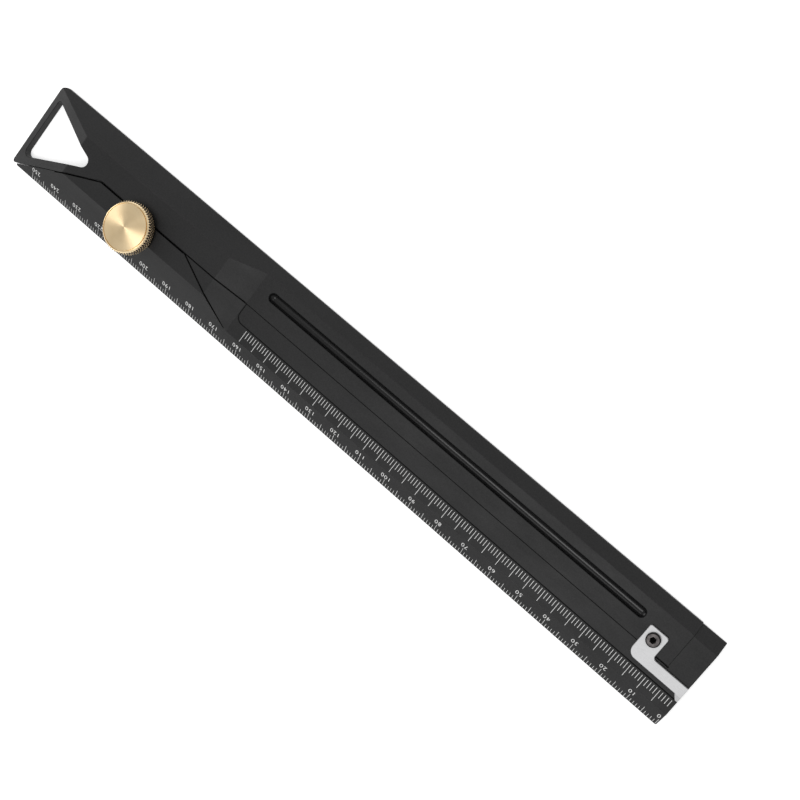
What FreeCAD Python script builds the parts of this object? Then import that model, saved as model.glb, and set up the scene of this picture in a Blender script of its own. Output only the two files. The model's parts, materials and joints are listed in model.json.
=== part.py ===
import FreeCAD, Part
import math
import os

os.makedirs("parts", exist_ok=True)

# A marking and measuring rule with a sliding handle. All sizes are in millimetres.
# Places along the tool are scale readings, counted from its zero end towards the hanging hole.
# Places across it are counted from the scale edge, and heights from the resting face.

# Overall size. The body starts a little before the zero of the scales.
ZERO_END = -0.3
HOLE_END = 258.85
WIDTH = 29.8
THIN = 4.8
THICK = 8.0
BLOCK_TOP = 8.4
EDGE_BREAK = 0.12
CORNER = 0.3

# Ruler
RULER_END = 257.4
EDGE_LAND = 0.9
SCALE_SLOPE = 0.8
SEAM = 15.15
DIAGONAL_START = 225.2
DIAGONAL_SLOPE = 0.453
STEP_HIGH = 176.9
STEP_LOW = 165.4
BLOCK_CUT = [(189.4, SEAM), (176.1, 9.4), (166.5, 5.0)]
BLOCK_RELIEF = 0.25
BLOCK_RELIEF_LOW = 6.4
RELIEF_TO = 241.0
CUT_CHANNEL = 0.3
OVERLAP = 0.04

# Rail with the fixed jaw
POCKET_END = 165.2
POCKET_Y = 9.5
POCKET_RADIUS = 2.4
LIP_Y = 13.0
LIP_TOP = 1.3
RAIL_GAP = 0.08
RAIL_TOP = THIN - 0.08
JAW_WIDTH = 7.5
JAW_EDGE_Y = 29.6
JAW_EDGE_LAND = 1.0
RELIEF_END = 12.0
RELIEF_LOW = RAIL_TOP - 0.9

# Handle
HANDLE_GAP = 0.2
HANDLE_Y = SEAM + HANDLE_GAP
HANDLE_FACE = JAW_WIDTH + 0.1
HANDLE_EDGE_LAND = 1.2
LEFT_LAND = 2.0
LEFT_FACET_START = 238.1
HOLE = [(256.6, 25.4), (256.6, 3.85), (229.3, 16.7)]
HOLE_RADII = [0.9, 2.0, 2.1]
GROOVE_Y = 21.75
GROOVE_RADIUS = 1.5
GROOVE_WALL = 0.2
GROOVE_FROM = 20.4
GROOVE_TO = 161.0

# Tongue of the handle, a strip let into the handle's side, and the groove that guides it
TONGUE_Y = 13.2
TONGUE_ROOT = HANDLE_Y + 1.4
TONGUE_LOW = 2.2
TONGUE_HIGH = 3.6
TONGUE_FROM = 9.5
TONGUE_TO = 223.0
SLOT_Y = 12.8
RUNNING = 0.1
TRAVEL = 140.0

# Lock: knob, stud, clamp plate
LOCK_AT = 207.7
LOCK_Y = 10.4
STUD_RADIUS = 2.0
SEAT_RADIUS = 4.5
BUSH_RADIUS = 2.6
CHAMBER_TOP = 4.6
CHAMBER_Y = 6.2
CHAMBER_HALF = 8.4
COVER_TOP = 0.6
CLAMP_BOSS_TOP = 3.1
COVER_HALF = 12.6
COVER_Y = (5.4, 15.2)
KNOB_RADIUS = 8.2
KNOB_LOW = 9.0
KNOB_EDGE = 11.6
KNOB_RIM = 12.5
KNOB_FACE_RADIUS = 7.2
KNOB_TOP = 13.2
WASHER_TOP = BLOCK_TOP + 0.3

# Pointer
POINTER_LOW = THIN
POINTER_TOP = THIN + 1.0
POINTER_SCREW = (14.9, 18.3)
POINTER_PIN = (13.1, 20.2)
PIN_RADIUS = 0.5
PIN_LOW = 3.2
PIN_TOP = POINTER_LOW + 0.6

# Rail fasteners and travel stop
RAIL_SCREW_READINGS = [12.0, 40.0, 68.0, 96.0, 124.0, 152.0]
RAIL_PIN_READINGS = [26.0, 138.0]
RAIL_PIN_RADIUS = 0.75
RAIL_PIN_TOP = 3.6
RAIL_FIX_Y = 11.2
STOP_AT = 16.5
STOP_Y = 14.2
STOP_HEAD = 0.8
STOP_POINT = 0.55
STOP_SLOT = (0.75, 0.7, 1.1)

V = FreeCAD.Vector
UP = V(0, 0, 1)
BIG = 400.0


def x_at(reading):
    return (ZERO_END + HOLE_END) / 2 - reading


def rounded_wire(points, radii):
    """A closed wire through the points, with an arc of the given radius at each corner that has one."""
    corners = []
    count = len(points)
    for i in range(count):
        here = points[i]
        to_last = (points[i - 1] - here).normalize()
        to_next = (points[(i + 1) % count] - here).normalize()
        radius = radii[i]
        if radius == 0:
            corners.append((here, here, here))
            continue
        half = to_last.getAngle(to_next) / 2
        reach = radius / math.tan(half)
        middle = (to_last + to_next).normalize() * (radius / math.sin(half) - radius)
        corners.append((here + to_last * reach, here + middle, here + to_next * reach))
    edges = []
    for i in range(count):
        start, middle, end = corners[i]
        if start != end:
            edges.append(Part.Arc(start, middle, end).toShape())
        edges.append(Part.makeLine(end, corners[(i + 1) % count][0]))
    return Part.Wire(edges)


def plan(points, low, high, radii=None):
    """A prism standing on an outline of (reading, y) points."""
    corners = [V(x_at(r), y, low) for r, y in points]
    wire = rounded_wire(corners, radii or [0] * len(corners))
    return Part.Face(wire).extrude(UP * (high - low))


def side(points, y_from=-BIG, y_to=BIG):
    """A prism across the tool, whose profile is (reading, z) points."""
    corners = [V(x_at(r), y_from, z) for r, z in points]
    return Part.Face(rounded_wire(corners, [0] * len(corners))).extrude(V(0, y_to - y_from, 0))


def section(points):
    """A prism along the tool, whose profile is (y, z) points."""
    corners = [V(-BIG, y, z) for y, z in points]
    return Part.Face(rounded_wire(corners, [0] * len(corners))).extrude(V(2 * BIG, 0, 0))


def block(reading_from, reading_to, y_from, y_to, low, high):
    size = (reading_to - reading_from, y_to - y_from, high - low)
    return Part.makeBox(*size, V(x_at(reading_to), y_from, low))


def post(reading, y, radius, low, high):
    return Part.makeCylinder(radius, high - low, V(x_at(reading), y, low), UP)


def turned(profile, reading, y):
    """A solid of revolution about a vertical axis, from (radius, z) points."""
    corners = [V(x_at(reading) + radius, y, z) for radius, z in profile]
    face = Part.Face(rounded_wire(corners, [0] * len(corners)))
    return face.revolve(V(x_at(reading), y, 0), UP, 360)


def break_edges(body, size, chosen):
    """A narrow chamfer on every edge whose box passes the test."""
    return body.makeChamfer(size, [edge for edge in body.Edges if chosen(edge.BoundBox)])


def level_at(low, high, value):
    """True if an edge lies wholly at one value of a coordinate."""
    return abs(low - value) < 0.02 and abs(high - value) < 0.02


def save(name, *solids):
    """Writes one sub-part, with the frame's origin under the middle of the whole tool."""
    shape = solids[0] if len(solids) == 1 else Part.makeCompound(list(solids))
    moved = shape.copy()
    moved.translate(V(0, -WIDTH / 2, 0))
    moved.exportStep("parts/" + name + ".step")
    print(name, len(moved.Solids), moved.isValid(), round(moved.Volume, 1))


def stepped_profile(top, reading_from, reading_to):
    """The thin bar, its slope and the thick part, seen from the long side."""
    return [
        (reading_from, 0),
        (reading_to, 0),
        (reading_to, top),
        (STEP_HIGH, top),
        (STEP_LOW, THIN),
        (reading_from, THIN),
    ]


def guide_slot(reading_from, reading_to):
    """The space that the handle's tongue slides in."""
    return block(
        reading_from, reading_to, SLOT_Y, HANDLE_Y + 1, TONGUE_LOW - RUNNING, TONGUE_HIGH + RUNNING
    )


def countersunk(reading, y, radius, head_radius, length):
    """A countersunk screw put in from below, with a hexagon socket in its head."""
    head_height = head_radius - radius
    body = countersunk_hole(reading, y, radius, head_radius, length)
    return body.cut(hexagon(reading, y, radius * 0.55, -1, head_height + 0.2))


def countersunk_hole(reading, y, radius, head_radius, length):
    head_height = head_radius - radius
    profile = [(0, 0), (head_radius, 0), (radius, head_height), (radius, length), (0, length)]
    return turned(profile, reading, y)


def hexagon(reading, y, inner_radius, low, high):
    outer = inner_radius / math.cos(math.pi / 6)
    corners = []
    for i in range(6):
        turn = math.pi / 3 * i
        corners.append(V(x_at(reading) + outer * math.cos(turn), y + outer * math.sin(turn), low))
    return Part.Face(rounded_wire(corners, [0] * 6)).extrude(UP * (high - low))


def diagonal_y(reading):
    """Where the ruler's slanted end wall runs, left of the straight seam."""
    return SEAM - DIAGONAL_SLOPE * (reading - DIAGONAL_START)


COVER_SCREW_READINGS = [LOCK_AT - COVER_HALF + 2.0, LOCK_AT + COVER_HALF - 2.0]
COVER_SCREW = dict(radius=0.8, head_radius=1.35, length=3.2)
RAIL_SCREW = dict(radius=0.95, head_radius=1.7, length=3.9)


def ruler():
    facet_end = (BLOCK_TOP - EDGE_LAND) / SCALE_SLOPE
    facet = section([(0, 0), (SEAM, 0), (SEAM, BLOCK_TOP), (facet_end, BLOCK_TOP), (0, EDGE_LAND)])
    outline = plan(
        [(ZERO_END, 0), (RULER_END, 0), (RULER_END, diagonal_y(RULER_END)), (DIAGONAL_START, SEAM),
         (ZERO_END, SEAM)],
        0, BLOCK_TOP, [CORNER, CORNER, CORNER, 0, 0]
    )
    low = side(stepped_profile(THICK, ZERO_END, RULER_END))
    raised_outline = [(RULER_END, 0), (STEP_LOW, 0)] + BLOCK_CUT[::-1]
    raised_outline += [(DIAGONAL_START, SEAM), (RULER_END, SEAM)]
    raised = plan(raised_outline, 0, BLOCK_TOP)
    body = outline.common(facet).common(low.fuse(raised))
    body = body.fuse(post(LOCK_AT, LOCK_Y, SEAT_RADIUS, 1, BLOCK_TOP))
    pocket = [(-1, POCKET_Y), (POCKET_END, POCKET_Y), (POCKET_END, SEAM + 1), (-1, SEAM + 1)]
    body = body.cut(plan(pocket, LIP_TOP, BLOCK_TOP, [0, POCKET_RADIUS, 0, 0]))
    under_lip = [(-1, LIP_Y), (POCKET_END, LIP_Y), (POCKET_END, SEAM + 1), (-1, SEAM + 1)]
    body = body.cut(plan(under_lip, -1, LIP_TOP + 1))
    body = body.cut(guide_slot(POCKET_END - 1, RULER_END))
    body = body.cut(clamp_chamber())
    body = body.cut(block(*cover_span(), *COVER_Y, -1, COVER_TOP))
    body = body.cut(post(LOCK_AT, LOCK_Y, BUSH_RADIUS, CHAMBER_TOP - 1, BLOCK_TOP + 1))
    for reading in COVER_SCREW_READINGS:
        body = body.cut(countersunk_hole(reading, LOCK_Y, **COVER_SCREW))
    for reading in RAIL_SCREW_READINGS:
        body = body.cut(countersunk_hole(reading, RAIL_FIX_Y, **RAIL_SCREW))
    for reading in RAIL_PIN_READINGS:
        body = body.cut(post(reading, RAIL_FIX_Y, RAIL_PIN_RADIUS, -1, LIP_TOP + 1))
    body = break_edges(body.removeSplitter(), EDGE_BREAK, ruler_seam_edge)
    body = break_edges(body, 1.5 * EDGE_BREAK, pocket_edge)
    return body.cut(seam_relief()).cut(cut_channel())


def strip_along(points, width, low):
    """An upright cut beside a line of (reading, y) points, on its right as it runs towards the hole."""
    cut = None
    for first, last in zip(points, points[1:]):
        run = math.hypot(last[0] - first[0], last[1] - first[1])
        along = ((last[0] - first[0]) / run, (last[1] - first[1]) / run)
        start = (first[0] - along[0] * OVERLAP, first[1] - along[1] * OVERLAP)
        end = (last[0] + along[0] * OVERLAP, last[1] + along[1] * OVERLAP)
        aside = (-along[1] * width, along[0] * width)
        far_end = (end[0] + aside[0], end[1] + aside[1])
        far_start = (start[0] + aside[0], start[1] + aside[1])
        piece = plan([start, end, far_end, far_start], low, BLOCK_TOP + 1)
        cut = cut.fuse(piece) if cut else piece
    return cut


def seam_relief():
    """The raised block stands a little back from the handle."""
    line = SEAM - BLOCK_RELIEF
    return strip_along([
        (BLOCK_CUT[0][0], line), (DIAGONAL_START, line), (RELIEF_TO, diagonal_y(RELIEF_TO) - BLOCK_RELIEF)
    ], 2 * BLOCK_RELIEF, BLOCK_RELIEF_LOW)


def cut_channel():
    """A narrow channel along the foot of the raised block's slanted end."""
    high, bend, end = BLOCK_CUT
    upper = strip_along([high, bend], -CUT_CHANNEL, THICK - 1.1)
    lower = strip_along([bend, end], -CUT_CHANNEL, THIN - 0.5)
    return upper.fuse(lower)


def ruler_seam_edge(box):
    return level_at(box.YMin, box.YMax, SEAM) and box.ZMin > THIN - 0.1


def pocket_edge(box):
    inside = box.YMin > POCKET_Y - 0.1 and box.YMax < SEAM - 0.2
    return inside and level_at(box.ZMin, box.ZMax, THIN) and box.XMin > x_at(POCKET_END) - 0.1


def cover_span():
    return LOCK_AT - COVER_HALF, LOCK_AT + COVER_HALF


def clamp_chamber():
    """The space under the block for the clamp plate. It opens downwards and into the tongue's slot."""
    span = (LOCK_AT - CHAMBER_HALF, LOCK_AT + CHAMBER_HALF)
    deep = block(*span, CHAMBER_Y, SLOT_Y + 0.05, -1, CHAMBER_TOP)
    under_tongue = block(*span, SLOT_Y, SEAM - 0.4, -1, TONGUE_LOW)
    return deep.fuse(under_tongue)


def guide_rail():
    rail_y = POCKET_Y + RAIL_GAP
    rail_end = POCKET_END - RAIL_GAP
    strip = plan(
        [(ZERO_END, rail_y), (rail_end, rail_y), (rail_end, SEAM + RAIL_GAP), (ZERO_END, SEAM + RAIL_GAP)],
        0, RAIL_TOP, [0.3, POCKET_RADIUS - RAIL_GAP, 0, 0]
    )
    jaw = plan(
        [(ZERO_END, SEAM), (JAW_WIDTH, SEAM), (JAW_WIDTH, JAW_EDGE_Y), (ZERO_END, JAW_EDGE_Y)], 0, RAIL_TOP
    )
    facet_start = JAW_EDGE_Y - (RAIL_TOP - JAW_EDGE_LAND)
    jaw_section = section([
        (0, 0), (JAW_EDGE_Y, 0), (JAW_EDGE_Y, JAW_EDGE_LAND), (facet_start, RAIL_TOP), (0, RAIL_TOP)
    ])
    body = strip.fuse(jaw.common(jaw_section))
    body = body.cut(block(-1, rail_end + 1, 0, LIP_Y + RAIL_GAP, -1, LIP_TOP))
    body = body.cut(guide_slot(JAW_WIDTH, rail_end + 1))
    past, half, deep = STOP_SLOT
    body = body.cut(block(
        STOP_AT - past, STOP_AT + TRAVEL + past, STOP_Y - half, STOP_Y + half, TONGUE_LOW - deep, TONGUE_LOW
    ))
    body = body.cut(post(STOP_AT, STOP_Y, half, -1, TONGUE_LOW))
    body = body.cut(post(JAW_WIDTH, SEAM - 0.05, 0.36, RELIEF_LOW, RAIL_TOP + 1))
    body = body.cut(block(JAW_WIDTH, RELIEF_END, SEAM - 0.3, SEAM + 0.2, RELIEF_LOW, RAIL_TOP + 1))
    for reading in RAIL_SCREW_READINGS:
        body = body.cut(countersunk_hole(reading, RAIL_FIX_Y, **RAIL_SCREW))
    for reading in RAIL_PIN_READINGS:
        body = body.cut(post(reading, RAIL_FIX_Y, RAIL_PIN_RADIUS, -1, RAIL_PIN_TOP))
    start, end = gib_seat()
    body = body.cut(block(start - 0.2, end + 0.2, SLOT_Y - 0.12, SLOT_Y + 1, TONGUE_LOW, TONGUE_HIGH))
    return break_edges(body.removeSplitter(), EDGE_BREAK, rail_top_edge)


def rail_top_edge(box):
    beside_ruler = box.YMax < SEAM - 0.3
    beside_handle = level_at(box.YMin, box.YMax, SEAM + RAIL_GAP)
    return (beside_ruler or beside_handle) and level_at(box.ZMin, box.ZMax, RAIL_TOP)


def gib_seat():
    return 46.0, 84.0


def groove_cut():
    """The long groove with upright walls, round ends and a round floor."""
    height = THIN - GROOVE_WALL
    length = GROOVE_TO - GROOVE_FROM - 2 * GROOVE_RADIUS
    start = V(x_at(GROOVE_TO - GROOVE_RADIUS), GROOVE_Y, height)
    end = V(x_at(GROOVE_FROM + GROOVE_RADIUS), GROOVE_Y, height)
    cut = Part.makeCylinder(GROOVE_RADIUS, length, start, V(1, 0, 0))
    for point in (start, end):
        cut = cut.fuse(Part.makeSphere(GROOVE_RADIUS, point))
        cut = cut.fuse(Part.makeCylinder(GROOVE_RADIUS, 2, point, UP))
    return cut.fuse(block(GROOVE_FROM + GROOVE_RADIUS, GROOVE_TO - GROOVE_RADIUS, GROOVE_Y - GROOVE_RADIUS,
                          GROOVE_Y + GROOVE_RADIUS, height, THIN + 2))


def slider_handle():
    corner_y = diagonal_y(HOLE_END) + HANDLE_GAP * math.hypot(1, DIAGONAL_SLOPE)
    outline = plan(
        [(HANDLE_FACE, HANDLE_Y), (DIAGONAL_START, HANDLE_Y), (HOLE_END, corner_y), (HOLE_END, WIDTH),
         (HANDLE_FACE, WIDTH)],
        0, THICK, [0, 0, 0.9, 2.0, 0.3]
    )
    edge_facet = section([
        (0, 0), (WIDTH, 0), (WIDTH, HANDLE_EDGE_LAND), (WIDTH - THICK + HANDLE_EDGE_LAND, THICK), (0, THICK)
    ])
    profile = side([
        (HANDLE_FACE, 0), (HOLE_END, 0), (HOLE_END, LEFT_LAND), (LEFT_FACET_START, THICK),
        (STEP_HIGH, THICK), (STEP_LOW, THIN), (HANDLE_FACE, THIN)
    ])
    body = outline.common(edge_facet).common(profile)
    body = body.cut(plan(HOLE, -1, THICK + 1, HOLE_RADII))
    body = body.cut(groove_cut())
    body = body.cut(block(TONGUE_FROM, TONGUE_TO, HANDLE_Y - 1, TONGUE_ROOT, TONGUE_LOW, TONGUE_HIGH))
    body = body.cut(post(*POINTER_SCREW, 1.0, 1.6, THIN + 1))
    body = body.cut(post(*POINTER_PIN, PIN_RADIUS, PIN_LOW, THIN + 1))
    body = break_edges(body.removeSplitter(), 1.5 * EDGE_BREAK, handle_seam_edge)
    body = break_edges(body, EDGE_BREAK, groove_edge)
    return break_edges(body, 1.5 * EDGE_BREAK, hole_edge)


def handle_seam_edge(box):
    return level_at(box.YMin, box.YMax, HANDLE_Y) and box.ZMax > THIN + 1


def groove_edge(box):
    beside = box.YMin > GROOVE_Y - 2 * GROOVE_RADIUS and box.YMax < GROOVE_Y + 2 * GROOVE_RADIUS
    return beside and level_at(box.ZMin, box.ZMax, THIN)


def hole_edge(box):
    wide, tip = HOLE[0][0] + 1, HOLE[2][0] - 1
    between_ends = box.XMin > x_at(wide) and box.XMax < x_at(tip)
    between_sides = box.YMin > HOLE[1][1] - 1 and box.YMax < HOLE[0][1] + 1
    upright = box.XLength < 0.05 and box.YLength < 0.05
    return between_ends and between_sides and box.ZMin > LEFT_LAND and not upright


def handle_tongue():
    """The strip that guides the handle. Its root is pressed into a slot in the handle's inner side."""
    body = block(TONGUE_FROM, TONGUE_TO, TONGUE_Y, TONGUE_ROOT, TONGUE_LOW, TONGUE_HIGH)
    for reading in GLIDE_READINGS:
        body = body.cut(glide_space(reading))
    return body.cut(post(STOP_AT, STOP_Y, STOP_HEAD, TONGUE_LOW - 1, TONGUE_HIGH + 1))


GLIDE_READINGS = [28.0, 118.0, 200.0]


def glide_space(reading):
    """A shallow pocket in the top of the tongue for a nylon glide pad."""
    half = 5.0
    low = TONGUE_HIGH - 0.5
    return block(reading - half, reading + half, TONGUE_Y + 0.5, HANDLE_Y - 0.5, low, TONGUE_HIGH + 0.05)


def pointer():
    right, inner, outer = ZERO_END + 0.1, 11.75, 17.9
    leg_low, leg_high, top = 11.05, 14.25, 21.2
    barb_start, tip, tip_y = 1.85, 0.6, 9.6
    outline = [
        (right, leg_high), (inner, leg_high), (inner, top), (outer, top), (outer, leg_low),
        (barb_start, leg_low), (tip, tip_y), (right, tip_y)
    ]
    body = plan(outline, POINTER_LOW, POINTER_TOP, [0, 1.0, 0.9, 0.6, 2.3, 0, 0, 0])
    edges = [edge for edge in body.Edges if level_at(edge.BoundBox.ZMin, edge.BoundBox.ZMax, POINTER_TOP)]
    body = body.makeChamfer(EDGE_BREAK, edges)
    above = POINTER_TOP + 1
    body = body.cut(section([
        (leg_low, POINTER_TOP), (tip_y - 1, POINTER_TOP - 0.5), (tip_y - 1, above), (leg_low, above)
    ]))
    body = body.cut(post(*POINTER_SCREW, 1.15, 0, 10))
    return body.cut(post(*POINTER_PIN, PIN_RADIUS, 0, PIN_TOP))


def pointer_screw():
    head, shank, point = 2.05, 1.0, 1.8
    low = POINTER_TOP
    high = low + 1.1
    profile = [
        (0, point), (shank, point), (shank, low),
        (head, low), (head, high - 0.35), (head - 0.3, high), (0, high)
    ]
    return turned(profile, *POINTER_SCREW).cut(hexagon(*POINTER_SCREW, 0.88, low + 0.2, high + 1))


def lock_knob():
    top_radius = KNOB_FACE_RADIUS
    boss_radius = 4.3
    boss_low = WASHER_TOP + 0.04
    profile = [
        (STUD_RADIUS, boss_low), (boss_radius, boss_low), (boss_radius, KNOB_LOW), (KNOB_RADIUS - 0.3, KNOB_LOW),
        (KNOB_RADIUS, KNOB_LOW + 0.3), (KNOB_RADIUS, KNOB_EDGE), (top_radius + 0.2, KNOB_RIM),
        (top_radius, KNOB_RIM), (top_radius, KNOB_RIM - 0.15)
    ]
    dome_height = KNOB_TOP - KNOB_RIM + 0.15
    middle = [(0, KNOB_RIM - 0.15), (0, KNOB_TOP - 1.5), (STUD_RADIUS, KNOB_TOP - 1.5)]
    body = turned(profile + middle, LOCK_AT, LOCK_Y)
    ball = (top_radius ** 2 + dome_height ** 2) / (2 * dome_height)
    dome = Part.makeSphere(ball, V(x_at(LOCK_AT), LOCK_Y, KNOB_TOP - ball))
    dome = dome.common(post(LOCK_AT, LOCK_Y, top_radius - 0.1, KNOB_RIM - 0.2, KNOB_TOP + 1))
    return body.fuse(dome).removeSplitter()


def clamp_stud():
    low = COVER_TOP + 0.2
    chamfer = 0.3
    top = KNOB_TOP - 1.5
    return turned(
        [(0, low), (STUD_RADIUS - chamfer, low), (STUD_RADIUS, low + chamfer), (STUD_RADIUS, top), (0, top)],
        LOCK_AT, LOCK_Y
    )


def ring(inner, outer, low, high):
    return post(LOCK_AT, LOCK_Y, outer, low, high).cut(post(LOCK_AT, LOCK_Y, inner, low - 1, high + 1))


def clamp_plate():
    span = (LOCK_AT - 7.9, LOCK_AT + 7.9)
    low = 1.4
    base_top = 2.1
    body = block(*span, CHAMBER_Y + 0.3, SEAM - 0.6, low, base_top)
    body = body.fuse(block(*span, CHAMBER_Y + 0.3, CHAMBER_Y + 1.0, low, CHAMBER_TOP - 0.04))
    body = body.fuse(post(LOCK_AT, LOCK_Y, 2.45, low, CLAMP_BOSS_TOP))
    body = body.cut(post(LOCK_AT, LOCK_Y, STUD_RADIUS + 0.05, 0, 5))
    return body.cut(pad_shape()).removeSplitter()


def pad_shape():
    return block(LOCK_AT - 5, LOCK_AT + 5, 13.3, SEAM - 0.7, 1.8, TONGUE_LOW - 0.03)


def return_spring():
    """Two disc springs, face to face, between the clamp plate's boss and the roof of its chamber."""
    inner, outer, sheet = STUD_RADIUS + 0.12, 2.55, 0.18
    low = CLAMP_BOSS_TOP + 0.02
    high = CHAMBER_TOP - 0.02
    waist = (high - low) * 0.4
    return turned([
        (inner, low), (outer, low + waist), (outer, high - waist), (inner, high), (inner, high - sheet),
        (outer - sheet, high - waist), (outer - sheet, low + waist), (inner, low + sheet)
    ], LOCK_AT, LOCK_Y)


def clamp_cover():
    margin = 0.1
    span = cover_span()
    body = block(span[0] + margin, span[1] - margin, COVER_Y[0] + margin, COVER_Y[1] - margin, 0, COVER_TOP)
    for reading in COVER_SCREW_READINGS:
        body = body.cut(countersunk_hole(reading, LOCK_Y, **COVER_SCREW))
    return body


def stop_screw():
    low = TONGUE_LOW - 0.9
    body = turned([
        (0, low), (STOP_POINT, low), (STOP_POINT, TONGUE_LOW),
        (STOP_HEAD, TONGUE_LOW), (STOP_HEAD, TONGUE_HIGH), (0, TONGUE_HIGH)
    ], STOP_AT, STOP_Y)
    return body.cut(hexagon(STOP_AT, STOP_Y, 0.3, low - 1, low + 0.6))


def gib_spring():
    start, end = gib_seat()
    return block(start, end, SLOT_Y - 0.1, SLOT_Y + 0.15, TONGUE_LOW + 0.1, TONGUE_HIGH - 0.1)


save("ruler", ruler())
save("guide_rail", guide_rail())
save("slider_handle", slider_handle())
save("handle_tongue", handle_tongue())
save("pointer", pointer())
save("pointer_screw", pointer_screw())
save("pointer_pin", post(*POINTER_PIN, PIN_RADIUS, PIN_LOW, PIN_TOP))
save("lock_knob", lock_knob())
save("clamp_stud", clamp_stud())
save("knob_washer", ring(STUD_RADIUS + 0.1, 4.2, BLOCK_TOP, WASHER_TOP))
save("stud_bush", ring(STUD_RADIUS + 0.05, BUSH_RADIUS, CHAMBER_TOP, BLOCK_TOP))
save("return_spring", return_spring())
save("clamp_plate", clamp_plate())
save("clamp_pad", pad_shape())
save("clamp_cover", clamp_cover())
save("cover_screws", *[countersunk(r, LOCK_Y, **COVER_SCREW) for r in COVER_SCREW_READINGS])
save("rail_screws", *[countersunk(r, RAIL_FIX_Y, **RAIL_SCREW) for r in RAIL_SCREW_READINGS])
save("rail_pins", *[post(r, RAIL_FIX_Y, RAIL_PIN_RADIUS, 0, RAIL_PIN_TOP) for r in RAIL_PIN_READINGS])
save("gib_spring", gib_spring())
save("glide_pads", *[glide_space(r) for r in GLIDE_READINGS])
save("travel_stop_screw", stop_screw())
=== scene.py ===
import json
import math

import bpy
from mathutils import Matrix, Vector


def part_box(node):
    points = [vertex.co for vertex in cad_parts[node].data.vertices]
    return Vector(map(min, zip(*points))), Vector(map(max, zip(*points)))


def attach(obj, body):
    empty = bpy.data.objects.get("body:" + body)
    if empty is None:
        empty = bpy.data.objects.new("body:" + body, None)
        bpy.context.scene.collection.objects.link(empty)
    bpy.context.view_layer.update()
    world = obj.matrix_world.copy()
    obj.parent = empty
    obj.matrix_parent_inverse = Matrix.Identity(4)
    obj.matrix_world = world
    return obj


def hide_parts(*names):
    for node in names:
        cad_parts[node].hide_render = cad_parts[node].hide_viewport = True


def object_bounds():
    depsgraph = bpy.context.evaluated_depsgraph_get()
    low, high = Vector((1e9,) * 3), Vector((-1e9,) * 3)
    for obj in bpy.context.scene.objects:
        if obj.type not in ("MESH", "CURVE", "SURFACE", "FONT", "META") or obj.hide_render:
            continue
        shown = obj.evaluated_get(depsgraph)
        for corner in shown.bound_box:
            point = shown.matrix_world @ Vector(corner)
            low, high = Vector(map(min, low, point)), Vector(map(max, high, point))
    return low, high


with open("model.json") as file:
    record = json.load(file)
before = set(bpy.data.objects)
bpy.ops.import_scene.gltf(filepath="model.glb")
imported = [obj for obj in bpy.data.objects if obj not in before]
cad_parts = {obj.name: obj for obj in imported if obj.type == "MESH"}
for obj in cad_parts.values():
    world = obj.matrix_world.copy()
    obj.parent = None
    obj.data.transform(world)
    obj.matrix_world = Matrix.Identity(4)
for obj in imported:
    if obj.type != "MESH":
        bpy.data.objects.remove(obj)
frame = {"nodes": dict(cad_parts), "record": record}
cad_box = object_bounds()
MM = 0.001

# The ruler's shape under the printed scales, in metres.
ZERO_INSET = 0.3 * MM
EDGE_LAND = 0.9 * MM
FACET_SLOPE = 0.8
THIN_TOP = 4.8 * MM

# The printed scales. Starts and ends are distances from the scale edge.
MARK_PROUD = 0.012 * MM
MARK_DEEP = 0.02 * MM
OUTER_LAST = 250
INNER_LAST = 160
OUTER_TICK_WIDTH = 0.11 * MM
INNER_TICK_WIDTH = 0.135 * MM
OUTER_START = 0.12 * MM
OUTER_SHORT = 1.3 * MM
OUTER_LONG = 2.15 * MM
INNER_START = 8.93 * MM
INNER_SHORT = 6.85 * MM
INNER_LONG = 5.15 * MM
DIGIT_HEIGHT = 1.6 * MM
DIGIT_PER_FONT_SIZE = 0.73
DIGIT_BASE = 3.62 * MM
DIGIT_WEIGHT = -0.012 * MM
DIGIT_SPACING = 1.15
DIGIT_FIRST = 0.75
DIGIT_LAST = 248.6
ZERO_TICK_SHIFT = 0.06 * MM

# The handle's long groove: its middle line from the scale edge, half its width, the reading where it
# ends, and how much smoother it is than the blasted faces.
GROOVE_MIDDLE = 21.75 * MM
GROOVE_HALF = 1.6 * MM
GROOVE_END = 164.0 * MM
GROOVE_POLISH = 0.55

# The pointer screw's hexagon socket and the flat of its head, which also place the painted shade in the
# socket and on the rim.
SOCKET_RADIUS = 0.85 * MM
SCREW_FACE_RADIUS = 1.75 * MM

# The knob's diamond knurling.
KNURLS = 60
STEPS_PER_KNURL = 10
KNURL_DEPTH = 0.45 * MM
KNURL_ROWS = 22
KNURL_SLOPE = math.tan(math.radians(30))
KNURL_TOP_BELOW = 1.6 * MM

# The rest of the knob: heights below its top, radii of the boss, and distances in from its side.
HEAD_BELOW = 4.2 * MM
RIM_BELOW = 0.7 * MM
FACE_EDGE_BELOW = 0.55 * MM
BORE_RADIUS = 2.1 * MM
BOSS_RADIUS = 4.3 * MM
LOW_BEVEL = (0.35 * MM, 0.25 * MM)
TOP_BEVEL_WIDTH = 0.75 * MM
RECESS_INSET = 0.92 * MM
RECESS_DEPTH = 0.5 * MM
FACE_INSET = 1.18 * MM
FACE_CHAMFER = 0.08 * MM
FACE_ROWS = 12

ruler_low, ruler_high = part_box("ruler")
zero_x = ruler_high.x - ZERO_INSET
knob_low, knob_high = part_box("lock_knob")
knob_centre = (knob_low + knob_high) / 2
knob_radius = (knob_high.x - knob_low.x) / 2


# ---------------------------------------------------------------- materials

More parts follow.
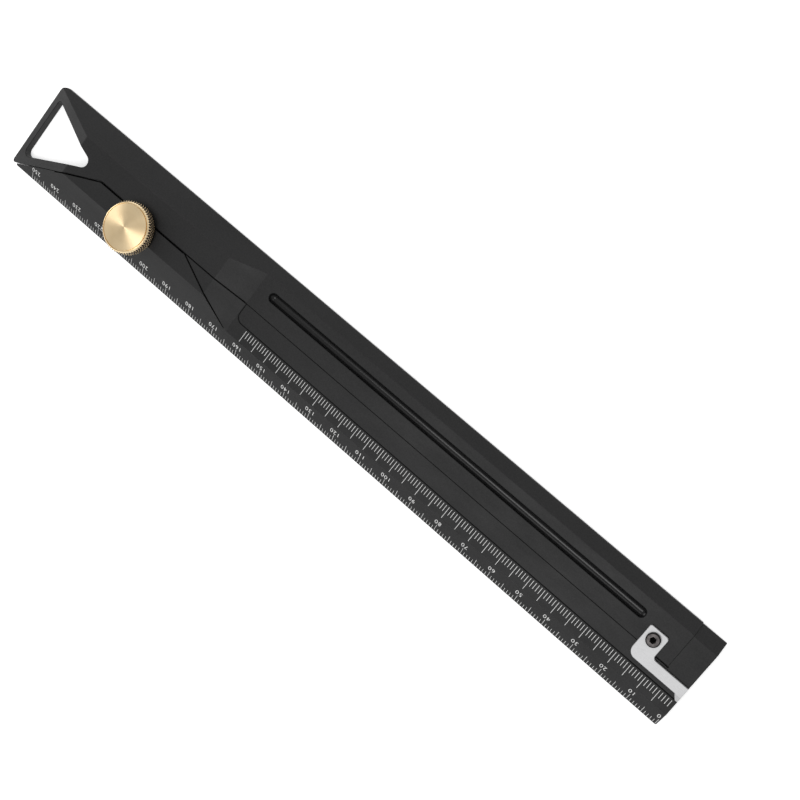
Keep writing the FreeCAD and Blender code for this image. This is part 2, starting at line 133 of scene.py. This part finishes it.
class Nodes:
    """Short calls for building a node material."""

    def __init__(self, name):
        self.material = bpy.data.materials.new(name)
        self.material.use_nodes = True
        self.tree = self.material.node_tree
        self.shader = self.tree.nodes["Principled BSDF"]
        self.coords = self.tree.nodes.new("ShaderNodeTexCoord").outputs["Object"]

    def new(self, kind, **values):
        node = self.tree.nodes.new("ShaderNode" + kind)
        for key, value in values.items():
            setattr(node, key, value)
        return node

    def link(self, source, target):
        self.tree.links.new(source, target)

    def scaled(self, x, y, z):
        mapping = self.new("Mapping")
        mapping.inputs["Scale"].default_value = (x, y, z)
        self.link(self.coords, mapping.inputs["Vector"])
        return mapping.outputs["Vector"]

    def noise(self, scale, detail=2.0, vector=None, roughness=0.5):
        node = self.new("TexNoise")
        node.inputs["Scale"].default_value = scale
        node.inputs["Detail"].default_value = detail
        node.inputs["Roughness"].default_value = roughness
        self.link(vector or self.coords, node.inputs["Vector"])
        return node.outputs["Fac"]

    def span(self, source, low, high, from_low=0.3, from_high=0.7):
        node = self.new("MapRange")
        node.inputs["From Min"].default_value = from_low
        node.inputs["From Max"].default_value = from_high
        node.inputs["To Min"].default_value = low
        node.inputs["To Max"].default_value = high
        self.link(source, node.inputs["Value"])
        return node.outputs["Result"]

    def math(self, operation, first, second):
        node = self.new("Math", operation=operation)
        for socket, value in zip(node.inputs, (first, second)):
            if isinstance(value, (int, float)):
                socket.default_value = value
            else:
                self.link(value, socket)
        return node.outputs["Value"]

    def colours(self, source, dark, light, low=0.3, high=0.7):
        ramp = self.new("ValToRGB")
        ramp.color_ramp.elements[0].position = low
        ramp.color_ramp.elements[1].position = high
        ramp.color_ramp.elements[0].color = (*dark, 1)
        ramp.color_ramp.elements[1].color = (*light, 1)
        self.link(source, ramp.inputs["Fac"])
        return ramp.outputs["Color"]

    def bump(self, height, distance, strength=1.0, after=None):
        node = self.new("Bump")
        node.inputs["Strength"].default_value = strength
        node.inputs["Distance"].default_value = distance
        self.link(height, node.inputs["Height"])
        if after is not None:
            self.link(after, node.inputs["Normal"])
        return node.outputs["Normal"]

    def set(self, **values):
        for key, value in values.items():
            self.shader.inputs[key.replace("_", " ")].default_value = value

    def place(self):
        split = self.new("SeparateXYZ")
        self.link(self.coords, split.inputs["Vector"])
        return split.outputs["X"], split.outputs["Y"], split.outputs["Z"]

    def radius(self, x, y):
        squares = self.math("ADD", self.math("POWER", x, 2.0), self.math("POWER", y, 2.0))
        return self.math("SQRT", squares, 0.0)


def in_groove(n):
    """1 inside the handle's long groove, 0 elsewhere."""
    x, y, z = n.place()
    below = n.span(z, 1.0, 0.0, THIN_TOP - 0.35 * MM, THIN_TOP - 0.1 * MM)
    from_middle = n.math("ABSOLUTE", n.math("SUBTRACT", y, ruler_low.y + GROOVE_MIDDLE), 0.0)
    beside = n.math("LESS_THAN", from_middle, GROOVE_HALF)
    along = n.math("GREATER_THAN", x, zero_x - GROOVE_END)
    return n.math("MULTIPLY", below, n.math("MULTIPLY", beside, along))


def anodised(name, dark, light, groove=False):
    """Black anodised aluminium over a fine bead blast. A groove cut after the blasting is smoother."""
    n = Nodes(name)
    blast = n.noise(7000.0, 3.0)
    pits = n.noise(2600.0, 2.0)
    cloud = n.noise(45.0, 3.0)
    grain = n.math("ADD", n.math("MULTIPLY", pits, 0.7), n.math("MULTIPLY", cloud, 0.3))
    n.link(n.colours(grain, dark, light, 0.38, 0.62), n.shader.inputs["Base Color"])
    handling = n.noise(130.0, 4.0, n.scaled(0.35, 1.0, 1.0), 0.65)
    touched = n.math("ADD", n.math("MULTIPLY", handling, 0.7), n.math("MULTIPLY", blast, 0.3))
    rough = n.span(touched, 0.44, 0.58)
    if groove:
        polish = n.math("MULTIPLY", in_groove(n), GROOVE_POLISH)
        rough = n.math("MULTIPLY", rough, n.math("SUBTRACT", 1.0, polish))
    n.link(rough, n.shader.inputs["Roughness"])
    n.link(n.bump(blast, 0.006 * MM, 0.8, n.bump(pits, 0.012 * MM, 0.6)), n.shader.inputs["Normal"])
    n.set(IOR=1.45)
    n.shader.inputs["Specular IOR Level"].default_value = 0.34
    return n.material


def white_marking():
    """Laser marking: white, matt, a little uneven."""
    n = Nodes("white_marking")
    speckle = n.noise(9000.0, 2.0)
    n.link(n.colours(speckle, (0.66, 0.66, 0.65), (0.86, 0.86, 0.85)), n.shader.inputs["Base Color"])
    n.link(n.span(speckle, 0.55, 0.75), n.shader.inputs["Roughness"])
    n.link(n.bump(speckle, 0.004 * MM, 0.5), n.shader.inputs["Normal"])
    return n.material


def satin_steel(name, dark, light, along, rough=(0.24, 0.4)):
    """Steel with a fine grain along one direction."""
    n = Nodes(name)
    stretch = (12.0, 1.0, 1.0) if along == "y" else (1.0, 12.0, 12.0)
    lines = n.noise(1500.0, 3.0, n.scaled(*stretch))
    stains = n.noise(160.0, 3.0)
    mixed = n.math("ADD", n.math("MULTIPLY", lines, 0.65), n.math("MULTIPLY", stains, 0.35))
    n.link(n.colours(mixed, dark, light), n.shader.inputs["Base Color"])
    n.link(n.span(mixed, *rough), n.shader.inputs["Roughness"])
    n.link(n.bump(lines, 0.003 * MM, 0.5), n.shader.inputs["Normal"])
    n.set(Metallic=1.0)
    return n.material


def brass(name, spun):
    """Brass. The spun one has fine circles about the piece's own vertical axis."""
    n = Nodes(name)
    if spun:
        x, y, z = n.place()
        rings = n.new("CombineXYZ")
        n.link(n.radius(x, y), rings.inputs["X"])
        grain = n.noise(9000.0, 4.0, rings.outputs["Vector"], 0.7)
    else:
        grain = n.noise(2500.0, 3.0)
    tarnish = n.noise(220.0, 3.0)
    mixed = n.math("ADD", n.math("MULTIPLY", grain, 0.5), n.math("MULTIPLY", tarnish, 0.5))
    n.link(n.colours(mixed, (0.76, 0.58, 0.34), (0.92, 0.74, 0.47)), n.shader.inputs["Base Color"])
    n.link(n.span(mixed, *((0.38, 0.52) if spun else (0.22, 0.36))), n.shader.inputs["Roughness"])
    n.link(n.bump(grain, (0.0025 if spun else 0.004) * MM, 0.6), n.shader.inputs["Normal"])
    n.set(Metallic=1.0)
    if spun:
        n.set(Anisotropic=0.85, Anisotropic_Rotation=0.25)
        tangent = n.new("Tangent", direction_type="RADIAL", axis="Z")
        n.link(tangent.outputs["Tangent"], n.shader.inputs["Tangent"])
    return n.material


def knurled_brass():
    """Brass with a little random wear; painted shade makes the colour dark and non-metallic towards the
    bottom of the knurl grooves, so the raised points stay bright.
    """
    n = Nodes("brass_knurled")
    x, y, z = n.place()
    wear = n.noise(1200.0, 3.0)
    # Painted shade: the deeper the knurl cuts at a place, the darker, less metallic and rougher its colour,
    # mixed with random wear.
    height_for_groove_shade = n.span(n.radius(x, y), 0.0, 1.0, knob_radius - KNURL_DEPTH, knob_radius)
    wear_and_groove_shade = n.math("ADD", n.math("MULTIPLY", height_for_groove_shade, 0.85), n.math("MULTIPLY", wear, 0.3))
    tint_with_painted_shade = n.colours(wear_and_groove_shade, (0.024, 0.013, 0.007), (0.90, 0.70, 0.42), 0.5, 1.0)
    n.link(tint_with_painted_shade, n.shader.inputs["Base Color"])
    n.link(n.span(wear_and_groove_shade, 0.6, 0.28, 0.4, 0.9), n.shader.inputs["Roughness"])
    n.link(n.span(wear_and_groove_shade, 0.0, 1.0, 0.45, 0.75), n.shader.inputs["Metallic"])
    n.link(n.bump(wear, 0.01 * MM, 0.4), n.shader.inputs["Normal"])
    return n.material


def screw_head(name, centre):
    """Black oxide head seen from above: a face with random wear, and painted shade that darkens its rounded
    rim and its socket.
    """
    n = Nodes(name)
    x, y, z = n.place()
    radius = n.radius(n.math("SUBTRACT", x, centre.x), n.math("SUBTRACT", y, centre.y))
    # Painted shade: the colour goes nearly black inside the socket radius and darker on the rim outside the
    # flat face.
    socket = n.span(radius, 0.0, 1.0, SOCKET_RADIUS - 0.1 * MM, SOCKET_RADIUS + 0.05 * MM)
    face = n.span(radius, 1.0, 0.25, SCREW_FACE_RADIUS - 0.1 * MM, SCREW_FACE_RADIUS + 0.1 * MM)
    wear = n.span(n.noise(900.0, 3.0), 0.6, 1.0)
    shade = n.math("MULTIPLY", n.math("MULTIPLY", socket, face), wear)
    tint_with_painted_shade = n.colours(shade, (0.003, 0.003, 0.003), (0.085, 0.078, 0.077), 0.0, 1.0)
    n.link(tint_with_painted_shade, n.shader.inputs["Base Color"])
    n.link(n.span(shade, 0.6, 0.36, 0.0, 1.0), n.shader.inputs["Roughness"])
    n.link(n.bump(n.noise(2500.0, 3.0), 0.004 * MM, 0.5), n.shader.inputs["Normal"])
    n.set(Metallic=1.0)
    return n.material


def moulded(name, dark, light):
    """Plain moulded nylon."""
    n = Nodes(name)
    cloud = n.noise(600.0, 3.0)
    n.link(n.colours(cloud, dark, light), n.shader.inputs["Base Color"])
    n.link(n.span(cloud, 0.4, 0.55), n.shader.inputs["Roughness"])
    n.link(n.bump(cloud, 0.01 * MM, 0.4), n.shader.inputs["Normal"])
    return n.material


ANODISED_SHADES = ((0.0048, 0.0048, 0.0050), (0.0112, 0.0110, 0.0113))
SATIN_SHADES = ((0.40, 0.40, 0.405), (0.64, 0.64, 0.645))
OXIDE_SHADES = ((0.040, 0.036, 0.036), (0.080, 0.072, 0.071))
ANODISED = anodised("anodised_black", *ANODISED_SHADES)
SLOT_MATERIALS = {
    "anodised_ruler": ANODISED,
    "anodised_rail": ANODISED,
    "anodised_handle": anodised("anodised_grooved", *ANODISED_SHADES, groove=True),
    "scale_marking": white_marking(),
    "pointer_steel": satin_steel("pointer_satin", *SATIN_SHADES, "x", (0.5, 0.62)),
    "blackened_steel": satin_steel("black_oxide", *OXIDE_SHADES, "y", (0.3, 0.45)),
    "knob_brass": brass("brass_turned", False),
    "bright_steel": satin_steel("turned_steel", (0.48, 0.48, 0.49), (0.66, 0.66, 0.67), "y"),
    "bronze": brass("bearing_bronze", False),
    "nylon": moulded("natural_nylon", (0.70, 0.69, 0.64), (0.82, 0.81, 0.76)),
}
SPUN_BRASS = brass("brass_spun", True)
KNURLED_BRASS = knurled_brass()

node_slots = {row["node"]: row["material_slot"] for row in frame["record"]["subparts"]}
for node_name, node in frame["nodes"].items():
    node.data.materials.clear()
    node.data.materials.append(SLOT_MATERIALS[node_slots[node_name]])
screw_low, screw_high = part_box("pointer_screw")
# The head gets its own material, with painted shade in the socket and on the rim.
screw_black_painted_shade = screw_head("pointer_screw_head", (screw_low + screw_high) / 2)
frame["nodes"]["pointer_screw"].data.materials[0] = screw_black_painted_shade


# ---------------------------------------------------------------- printed scales

def mesh_object(name, vertices, faces, slot):
    mesh = bpy.data.meshes.new(name)
    mesh.from_pydata(vertices, [], faces)
    mesh.update()
    made = bpy.data.objects.new(name, mesh)
    bpy.context.scene.collection.objects.link(made)
    mesh.materials.append(SLOT_MATERIALS[slot])
    return made


BOX_FACES = [(0, 3, 2, 1), (4, 5, 6, 7), (0, 1, 5, 4), (1, 2, 6, 5), (2, 3, 7, 6), (3, 0, 4, 7)]


def facet_z(y):
    """Height of the bevelled scale face at a distance from the scale edge."""
    return EDGE_LAND + FACET_SLOPE * y


def flat_z(y):
    return THIN_TOP


def scale_ticks(name, last, first, width, start, short, long, height, normal):
    """One flat bar per millimetre, longer at each five."""
    vertices, faces = [], []
    for reading in range(first, last + 1):
        end = long if reading % 5 == 0 else short
        x = zero_x - reading * MM
        if reading == 0:
            x -= width / 2 + ZERO_TICK_SHIFT
        base = len(vertices)
        for lift in (-MARK_DEEP, MARK_PROUD):
            for side, y in ((-1, start), (1, start), (1, end), (-1, end)):
                point = Vector((x + side * width / 2, ruler_low.y + y, height(y)))
                vertices.append(point + normal * lift)
        order = BOX_FACES if end > start else [face[::-1] for face in BOX_FACES]
        faces += [tuple(base + i for i in face) for face in order]
    ticks = mesh_object(name, vertices, faces, "scale_marking")
    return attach(ticks, "ruler_frame")


FACET_NORMAL = Vector((0, -FACET_SLOPE, 1)).normalized()
FACET_DOWN = Vector((0, -1, -FACET_SLOPE)).normalized()


def scale_numbers():
    """Numbers at each ten, their tops towards the scale edge, lying on the bevelled face."""
    vertices, faces = [], []
    for reading in range(0, OUTER_LAST + 1, 10):
        text = bpy.data.curves.new("number", "FONT")
        text.body = str(reading)
        text.align_x = "CENTER"
        text.size = DIGIT_HEIGHT / DIGIT_PER_FONT_SIZE
        text.space_character = DIGIT_SPACING
        text.offset = DIGIT_WEIGHT
        text.extrude = (MARK_PROUD + MARK_DEEP) / 2
        text.resolution_u = 6
        holder = bpy.data.objects.new("number", text)
        bpy.context.scene.collection.objects.link(holder)
        bpy.context.view_layer.update()
        flat = bpy.data.meshes.new_from_object(holder)
        at = min(max(reading, DIGIT_FIRST), DIGIT_LAST)
        origin = Vector((zero_x - at * MM, ruler_low.y + DIGIT_BASE, facet_z(DIGIT_BASE)))
        base = len(vertices)
        for vertex in flat.vertices:
            across, up, out = vertex.co
            lift = out + (MARK_PROUD - MARK_DEEP) / 2
            vertices.append(origin + Vector((-across, 0, 0)) + FACET_DOWN * up + FACET_NORMAL * lift)
        faces += [tuple(base + i for i in face.vertices) for face in flat.polygons]
        bpy.data.objects.remove(holder)
        bpy.data.meshes.remove(flat)
    numbers = mesh_object("scale_numbers", vertices, faces, "scale_marking")
    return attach(numbers, "ruler_frame")


scale_ticks("outer_scale_ticks", OUTER_LAST, 0, OUTER_TICK_WIDTH, OUTER_START, OUTER_SHORT, OUTER_LONG,
            facet_z, FACET_NORMAL)
scale_ticks("inner_scale_ticks", INNER_LAST, 1, INNER_TICK_WIDTH, INNER_START, INNER_SHORT, INNER_LONG,
            flat_z, Vector((0, 0, 1)))
scale_numbers()


# ---------------------------------------------------------------- knurled knob

# Finishes of the knob's bands, as places in its list of materials.
TURNED, SPUN, KNURLED = 0, 1, 2

# The top bevel, where the knurl runs out: distance in, share of the knurl's depth, finish.
TOP_BEVEL = ((0.15 * MM, 0.9, KNURLED), (0.3 * MM, 0.5, TURNED), (0.5 * MM, 0, TURNED),
             (TOP_BEVEL_WIDTH, 0, TURNED))

# The rim's rounding before the recess: distance in, height above the rim.
RIM_ROUND = ((0.80 * MM, 0.02 * MM), (0.86 * MM, 0.0), (0.90 * MM, -0.05 * MM))


def knob_profile():
    """(radius, height, share of the knurl's depth, finish above it) from the underside to the top."""
    r = knob_radius
    total = knob_high.z - knob_low.z
    base = total - HEAD_BELOW
    edge = knurl_top()
    rim = total - RIM_BELOW
    bevel = (rim - edge) / TOP_BEVEL_WIDTH
    bevel_in, bevel_up = LOW_BEVEL
    rows = [(BORE_RADIUS, 0.0, 0, TURNED), (BOSS_RADIUS, 0.0, 0, TURNED), (BOSS_RADIUS, base, 0, TURNED),
            (r - bevel_in, base, 0, TURNED)]
    for i in range(KNURL_ROWS):
        rows.append((r, base + bevel_up + (edge - base - bevel_up) * i / KNURL_ROWS, 1, KNURLED))
    rows.append((r, edge, 1, KNURLED))
    for inward, share, finish in TOP_BEVEL:
        rows.append((r - inward, edge + bevel * inward, share, finish))
    face_edge = r - FACE_INSET
    edge_height = total - FACE_EDGE_BELOW
    floor_height = rim - RECESS_DEPTH
    rows += [(r - inward, rim + up, 0, TURNED) for inward, up in RIM_ROUND]
    rows += [(r - RECESS_INSET, floor_height, 0, TURNED), (face_edge, floor_height, 0, TURNED),
             (face_edge, edge_height - FACE_CHAMFER, 0, SPUN)]
    for i in range(FACE_ROWS + 1):
        share = 1 - i / FACE_ROWS
        height = total - (total - edge_height) * share * share
        rows.append(((face_edge - FACE_CHAMFER) * share, height, 0, SPUN))
    return rows


def knurl_top():
    return knob_high.z - knob_low.z - KNURL_TOP_BELOW


def knurl(angle, height):
    """How deep the crossing grooves cut at a place on the side, from 0 to 1. They cross at the top edge."""
    turns = KNURLS * angle / math.tau
    climb = (knurl_top() - min(height, knurl_top())) * KNURLS / (math.tau * knob_radius) * KNURL_SLOPE
    first = abs(2 * ((turns + climb) % 1) - 1)
    second = abs(2 * ((turns - climb) % 1) - 1)
    return max(first, second)


def knurled_knob():
    rows = knob_profile()
    count = KNURLS * STEPS_PER_KNURL
    vertices, faces, finishes = [], [], []
    for radius, height, cut, finish in rows[:-1]:
        for i in range(count):
            angle = math.tau * i / count
            r = radius - KNURL_DEPTH * cut * knurl(angle, height)
            vertices.append((r * math.cos(angle), r * math.sin(angle), height))
    for row in range(len(rows) - 2):
        for i in range(count):
            j = (i + 1) % count
            faces.append((row * count + i, row * count + j, (row + 1) * count + j, (row + 1) * count + i))
            finishes.append(rows[row][3])
    top = len(vertices)
    vertices.append((0, 0, rows[-1][1]))
    bottom = len(vertices)
    vertices.append((0, 0, 0))
    last = (len(rows) - 2) * count
    for i in range(count):
        j = (i + 1) % count
        faces += [(last + i, last + j, top), (j, i, bottom)]
        finishes += [SPUN, TURNED]
    knob = mesh_object("knurled_knob", vertices, faces, "knob_brass")
    knob.data.materials.append(SPUN_BRASS)
    knob.data.materials.append(KNURLED_BRASS)
    for polygon, finish in zip(knob.data.polygons, finishes):
        polygon.use_smooth = True
        polygon.material_index = finish
    knob.data.set_sharp_from_angle(angle=math.radians(24))
    knob.location = (knob_centre.x, knob_centre.y, knob_low.z)
    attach(knob, "knob")
    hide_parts("lock_knob")


knurled_knob()


# ---------------------------------------------------------------- floor, light, camera

# The floor glows a little, like a light table, so that no shadow is left under the tool.
FLOOR_GLOW = 0.45
FLOOR_HALF = 3.0
FLOOR_DROP = 0.02 * MM

# The camera: where it stands, the point it looks at, its turn about that line and its focal length.
CAMERA_PLACE = Vector((0.09681, 0.06717, 0.33700))
CAMERA_TARGET = Vector((0.01774, 0.00739, 0.0))
CAMERA_ROLL = math.radians(-87.84)
CAMERA_LENS = 54.70

# Soft boxes aimed at the tool: name, place, size and power. The sky gives the even light.
LIGHTS = (
    ("key", (0.0, -0.28, 1.05), (0.45, 0.45), 3.3),
    ("fill", (0.0, 0.72, 0.83), (0.35, 0.35), 0.6),
    ("end", (-1.06, 0.0, 0.28), (0.5, 0.5), 2.5),
)
SKY = 0.64


def floor():
    """A plain pale surface under the tool."""
    size = FLOOR_HALF
    corners = [(-size, -size, 0), (size, -size, 0), (size, size, 0), (-size, size, 0)]
    mesh = bpy.data.meshes.new("floor")
    mesh.from_pydata(corners, [], [(0, 1, 2, 3)])
    plane = bpy.data.objects.new("floor", mesh)
    plane.location.z = cad_box[0].z - FLOOR_DROP
    bpy.context.scene.collection.objects.link(plane)
    n = Nodes("pale_floor")
    paper = n.noise(400.0, 3.0)
    n.link(n.colours(paper, (0.90, 0.90, 0.90), (0.93, 0.93, 0.93)), n.shader.inputs["Base Color"])
    n.set(Roughness=0.9, Emission_Color=(1, 1, 1, 1), Emission_Strength=FLOOR_GLOW)
    n.shader.inputs["Specular IOR Level"].default_value = 0.1
    mesh.materials.append(n.material)


def soft_light(name, place, target, size, power):
    lamp = bpy.data.lights.new(name, "AREA")
    lamp.shape = "RECTANGLE"
    lamp.size, lamp.size_y = size
    lamp.energy = power
    holder = bpy.data.objects.new(name, lamp)
    holder.location = place
    holder.rotation_euler = (Vector(target) - Vector(place)).to_track_quat("-Z", "Y").to_euler()
    bpy.context.scene.collection.objects.link(holder)


def surroundings(strength):
    world = bpy.data.worlds.new("studio")
    world.use_nodes = True
    world.node_tree.nodes["Background"].inputs["Color"].default_value = (1, 1, 1, 1)
    world.node_tree.nodes["Background"].inputs["Strength"].default_value = strength
    bpy.context.scene.world = world


def camera():
    """Stands high over the zero end, so that the tool runs from the upper left to the lower right."""
    data = bpy.data.cameras.new("camera")
    data.sensor_width = 36.0
    data.lens = CAMERA_LENS
    data.clip_start = 0.01
    data.clip_end = 20.0
    holder = bpy.data.objects.new("camera", data)
    aim = (CAMERA_TARGET - CAMERA_PLACE).to_track_quat("-Z", "Y").to_matrix()
    turned = aim @ Matrix.Rotation(CAMERA_ROLL, 3, "Z")
    holder.matrix_world = Matrix.Translation(CAMERA_PLACE) @ turned.to_4x4()
    bpy.context.scene.collection.objects.link(holder)
    bpy.context.scene.camera = holder


floor()
surroundings(SKY)
for light_name, place, size, power in LIGHTS:
    soft_light(light_name, place, (0, 0, 0), size, power)
camera()
bpy.context.scene.view_settings.view_transform = "Standard"
